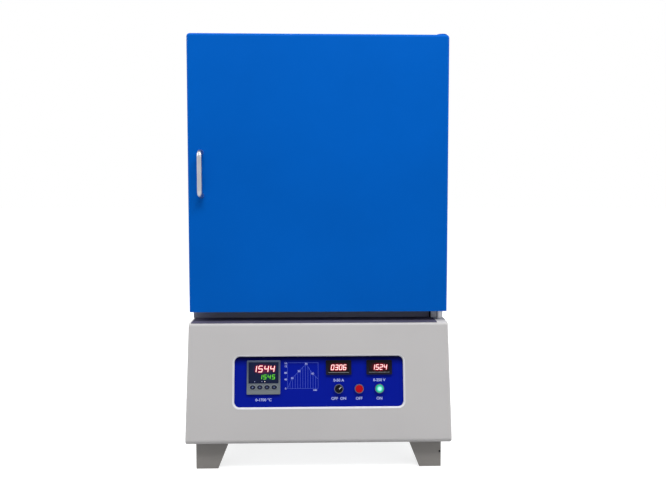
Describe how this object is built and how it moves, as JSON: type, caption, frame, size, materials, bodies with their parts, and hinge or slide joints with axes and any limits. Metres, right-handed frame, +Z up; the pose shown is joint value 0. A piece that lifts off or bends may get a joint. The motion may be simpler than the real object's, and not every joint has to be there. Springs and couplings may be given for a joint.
{
  "type": "muffle furnace",
  "caption": "Floor-standing high-temperature box furnace: blue insulated head with a side-hung door over a ceramic-fibre chamber, on a light grey base with a recessed sloping control panel.",
  "frame": {"origin": "on the floor, under the middle of the furnace's overall box", "axes": "+X to the right seen from the front, -Y towards the front, +Z up"},
  "size_m": [0.76, 0.8098, 1.245],
  "materials": {
    "blue_paint": "satin",
    "grey_paint": "satin",
    "foot_paint": "satin",
    "neck_paint": "matte",
    "panel_paint": "satin",
    "instrument_grey": "matte",
    "black_plastic": "matte",
    "dark_window": "gloss",
    "key_rubber": "matte",
    "red_plastic": "gloss",
    "green_lens": "gloss",
    "plated_steel": "satin",
    "galvanised": "satin",
    "satin_metal": "satin",
    "aluminium": "satin",
    "core_steel": "matte",
    "copper_coil": "satin",
    "fibre_board": "matte",
    "hearth_ceramic": "matte",
    "element_ceramic": "matte",
    "white_ceramic": "matte",
    "gasket_rope": "matte",
    "bush_brass": "satin",
    "gland_plastic": "matte",
    "magnet_black": "matte"
  },
  "bodies": {
    "cabinet": {"base_shell": "grey_paint", "base_floor": "galvanised", "base_rear_panel": "grey_paint", "neck_plinth": "neck_paint", "foot_front_left": "foot_paint", "foot_front_right": "foot_paint", "foot_rear_left": "foot_paint", "foot_rear_right": "foot_paint", "control_panel": "panel_paint", "controller_housing": "instrument_grey", "controller_window": "dark_window", "ammeter_housing": "black_plastic", "voltmeter_housing": "black_plastic", "meter_windows": "dark_window", "button_bezels": "satin_metal", "transformer_core": "core_steel", "transformer_coil": "copper_coil", "thyristor_heatsink": "aluminium", "contactor": "black_plastic", "fan_frame": "black_plastic", "fan_guard": "plated_steel", "cable_gland": "gland_plastic", "head_side_left": "blue_paint", "head_side_right": "blue_paint", "head_bottom": "galvanised", "head_rear_cover": "blue_paint", "top_cover": "blue_paint", "front_frame": "grey_paint", "inner_casing": "galvanised", "backing_boards": "fibre_board", "backing_roof": "fibre_board", "hot_face_boards": "fibre_board", "hot_face_roof": "fibre_board", "hearth_plate": "hearth_ceramic", "throat_block": "fibre_board", "heating_elements": "element_ceramic", "element_plugs": "white_ceramic", "element_clamps": "aluminium", "element_straps": "aluminium", "thermocouple_sheath": "white_ceramic", "thermocouple_head": "aluminium", "hinge_upper_bracket": "plated_steel", "hinge_lower_bracket": "plated_steel", "door_magnet": "magnet_black"},
    "door": {"door_shell": "blue_paint", "door_liner": "grey_paint", "door_insulation": "fibre_board", "door_plug": "fibre_board", "door_gasket": "gasket_rope", "door_handle": "satin_metal", "hinge_bushes": "bush_brass", "strike_plate": "plated_steel"},
    "fan": {"fan_rotor": "black_plastic"},
    "selector": {"selector_knob": "black_plastic"},
    "stop": {"stop_button": "red_plastic"},
    "start": {"start_button": "green_lens"},
    "key_1": {"controller_key_1": "key_rubber"},
    "key_2": {"controller_key_2": "key_rubber"},
    "key_3": {"controller_key_3": "key_rubber"},
    "key_4": {"controller_key_4": "key_rubber"}
  },
  "joints": [
    {"name": "door_swing", "type": "hinge", "parent": "cabinet", "child": "door", "pos_m": [0.356, -0.30856, 0.843], "axis": [0, 0, 1], "range_deg": [0, 110]},
    {"name": "fan_spin", "type": "hinge", "parent": "cabinet", "child": "fan", "pos_m": [0.19, 0.35044, 0.247], "axis": [0, -1, 0], "continuous": true},
    {"name": "selector_turn", "type": "hinge", "parent": "cabinet", "child": "selector", "pos_m": [0.0565, -0.37195, 0.2276], "axis": [0, -0.9863, 0.165], "range_deg": [0, 90]},
    {"name": "stop_press", "type": "slide", "parent": "cabinet", "child": "stop", "axis": [0, 0.9863, -0.165], "range_m": [0, 0.0035], "stiffness_N_per_m": 300},
    {"name": "start_press", "type": "slide", "parent": "cabinet", "child": "start", "axis": [0, 0.9863, -0.165], "range_m": [0, 0.0035], "stiffness_N_per_m": 300},
    {"name": "key_1_press", "type": "slide", "parent": "cabinet", "child": "key_1", "axis": [0, 0.9863, -0.165], "range_m": [0, 0.0006], "stiffness_N_per_m": 400},
    {"name": "key_2_press", "type": "slide", "parent": "cabinet", "child": "key_2", "axis": [0, 0.9863, -0.165], "range_m": [0, 0.0006], "stiffness_N_per_m": 400},
    {"name": "key_3_press", "type": "slide", "parent": "cabinet", "child": "key_3", "axis": [0, 0.9863, -0.165], "range_m": [0, 0.0006], "stiffness_N_per_m": 400},
    {"name": "key_4_press", "type": "slide", "parent": "cabinet", "child": "key_4", "axis": [0, 0.9863, -0.165], "range_m": [0, 0.0006], "stiffness_N_per_m": 400}
  ]
}
